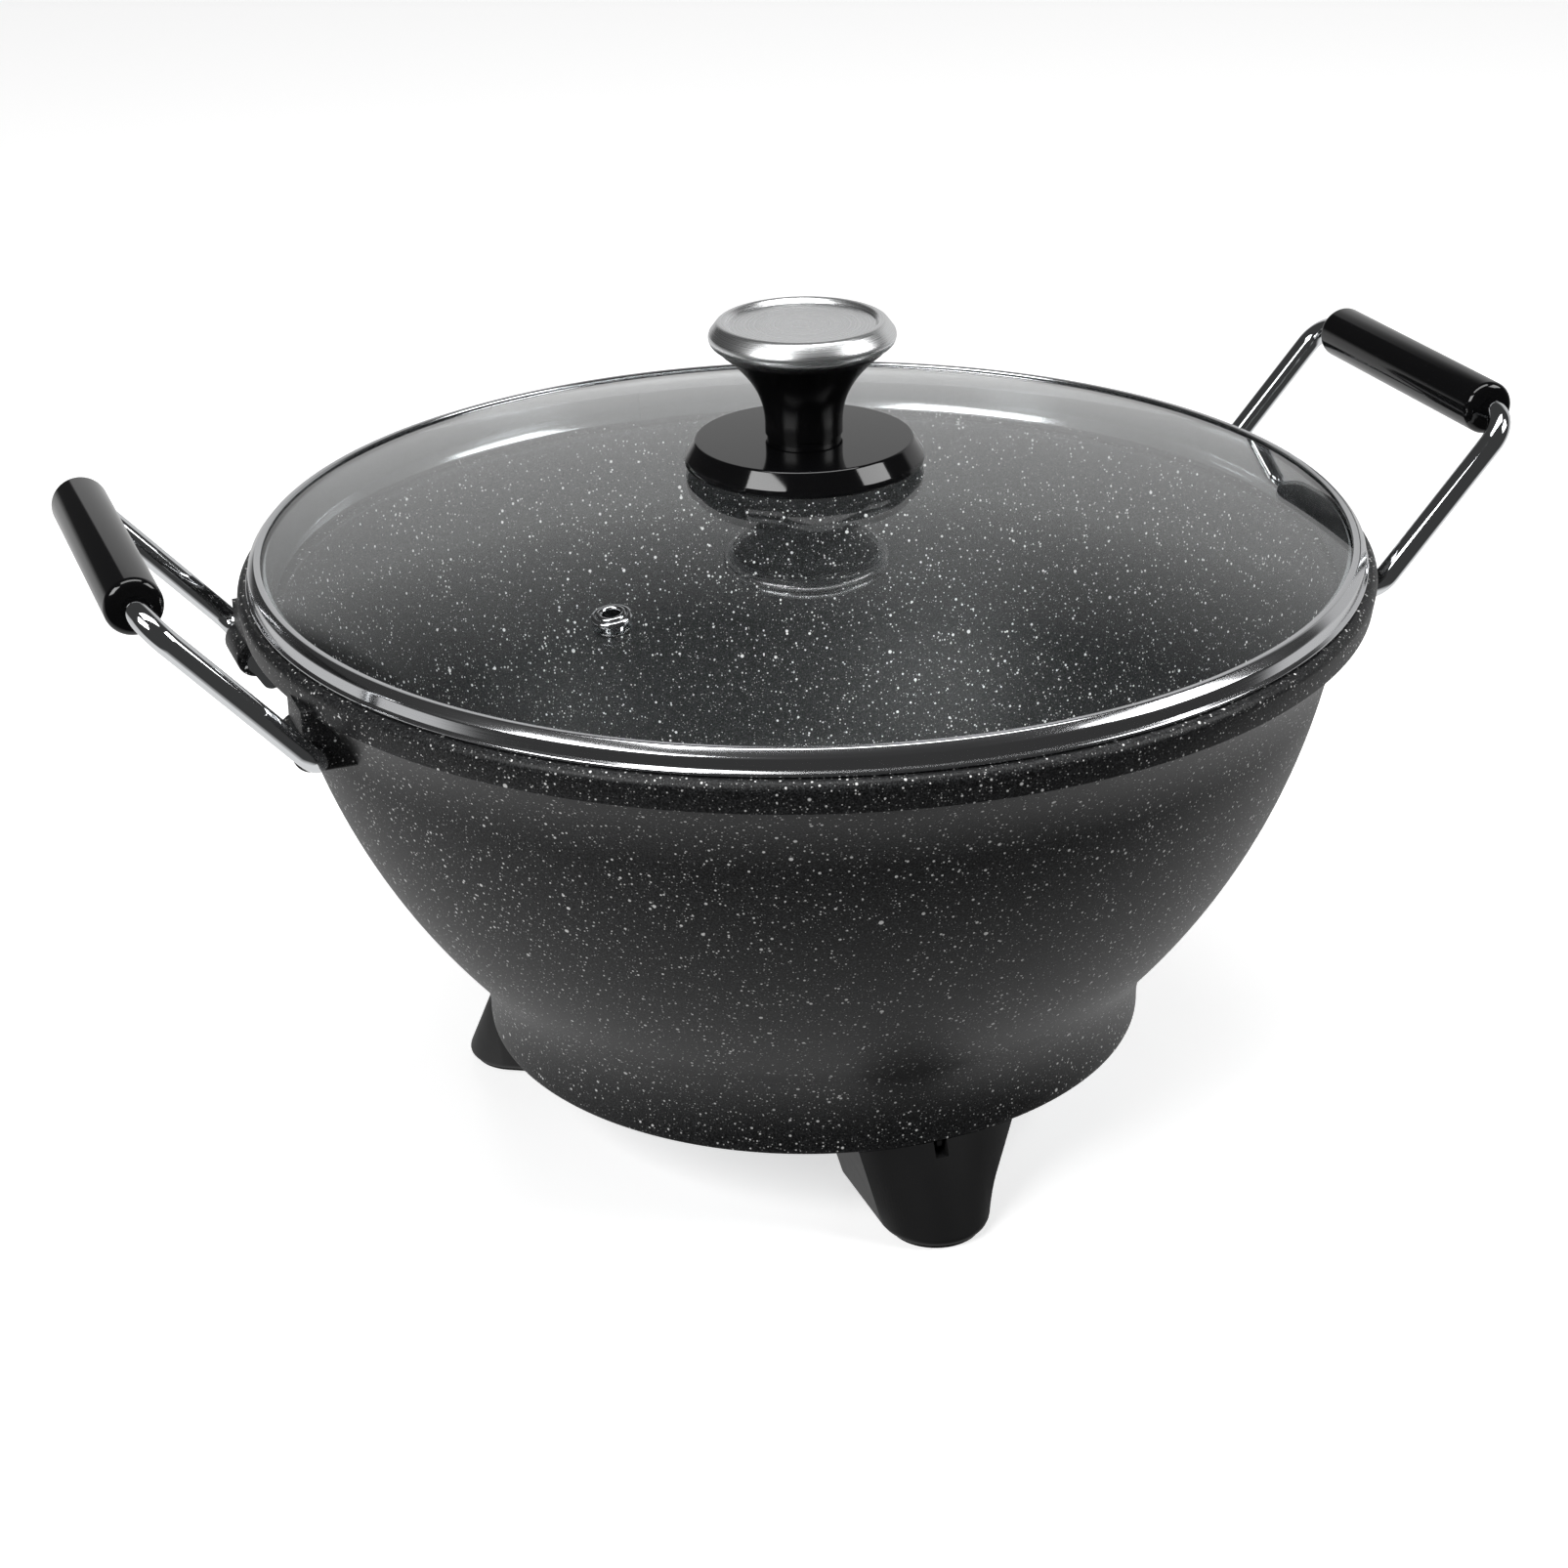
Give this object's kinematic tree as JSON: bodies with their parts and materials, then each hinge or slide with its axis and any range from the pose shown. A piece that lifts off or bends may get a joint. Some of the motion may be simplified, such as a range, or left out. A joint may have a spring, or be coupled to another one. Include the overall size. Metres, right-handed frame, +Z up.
{
  "type": "electric wok",
  "caption": "Deep electric wok on moulded feet, with a domed glass lid, swinging wire handles and a rear thermostat socket.",
  "frame": {"origin": "on the ground under the middle of the bowl", "axes": "+X along the two handles, +Y to the thermostat socket at the rear, +Z up"},
  "size_m": [0.464, 0.3658, 0.2711],
  "materials": {
    "stone_coated_aluminium": "charcoal stone-effect non-stick coating with pale flecks",
    "steel": "plain pressed and turned steel",
    "chromed_wire": "bright chrome plating",
    "polished_steel": "polished stainless strip",
    "brushed_cap": "circular brushing",
    "clear_glass": "clear tempered glass",
    "glossy_black": "glossy moulded phenolic",
    "matte_black": "fine matte moulding",
    "black_rubber": "matte"
  },
  "bodies": {
    "base": {"wok_bowl": "stone_coated_aluminium", "bowl_skirt": "stone_coated_aluminium", "sleeve_seat": "stone_coated_aluminium", "heating_element": "steel", "element_clamps": "steel", "clamp_screws": "steel", "base_cover": "steel", "cover_screw": "steel", "inlet_housing": "matte_black", "inlet_pin_left": "polished_steel", "inlet_pin_right": "polished_steel", "probe_sleeve": "steel", "inlet_screws": "steel", "foot_front": "matte_black", "foot_left": "matte_black", "foot_right": "matte_black", "foot_screws": "steel", "foot_pads": "black_rubber"},
    "handle_left": {"handle_rod_left": "chromed_wire", "grip_left": "glossy_black"},
    "handle_right": {"handle_rod_right": "chromed_wire", "grip_right": "glossy_black"},
    "lid": {"lid_glass": "clear_glass", "lid_rim": "polished_steel", "vent_eyelet": "polished_steel", "vent_collar": "polished_steel", "knob_seal": "black_rubber", "knob_disc": "glossy_black", "knob_stem": "glossy_black", "knob_cap": "brushed_cap", "knob_washer": "steel", "knob_screw": "steel"}
  },
  "joints": [
    {"name": "lid_lift", "type": "slide", "parent": "base", "child": "lid", "axis": [0, 0, 1], "range_m": [0, 0.1]},
    {"name": "handle_left_swing", "type": "hinge", "parent": "base", "child": "handle_left", "pos_m": [-0.17598, 0, 0.173], "axis": [0, 1, 0], "range_deg": [0, 26]},
    {"name": "handle_right_swing", "type": "hinge", "parent": "base", "child": "handle_right", "pos_m": [0.17598, 0, 0.173], "axis": [0, -1, 0], "range_deg": [0, 26]}
  ]
}
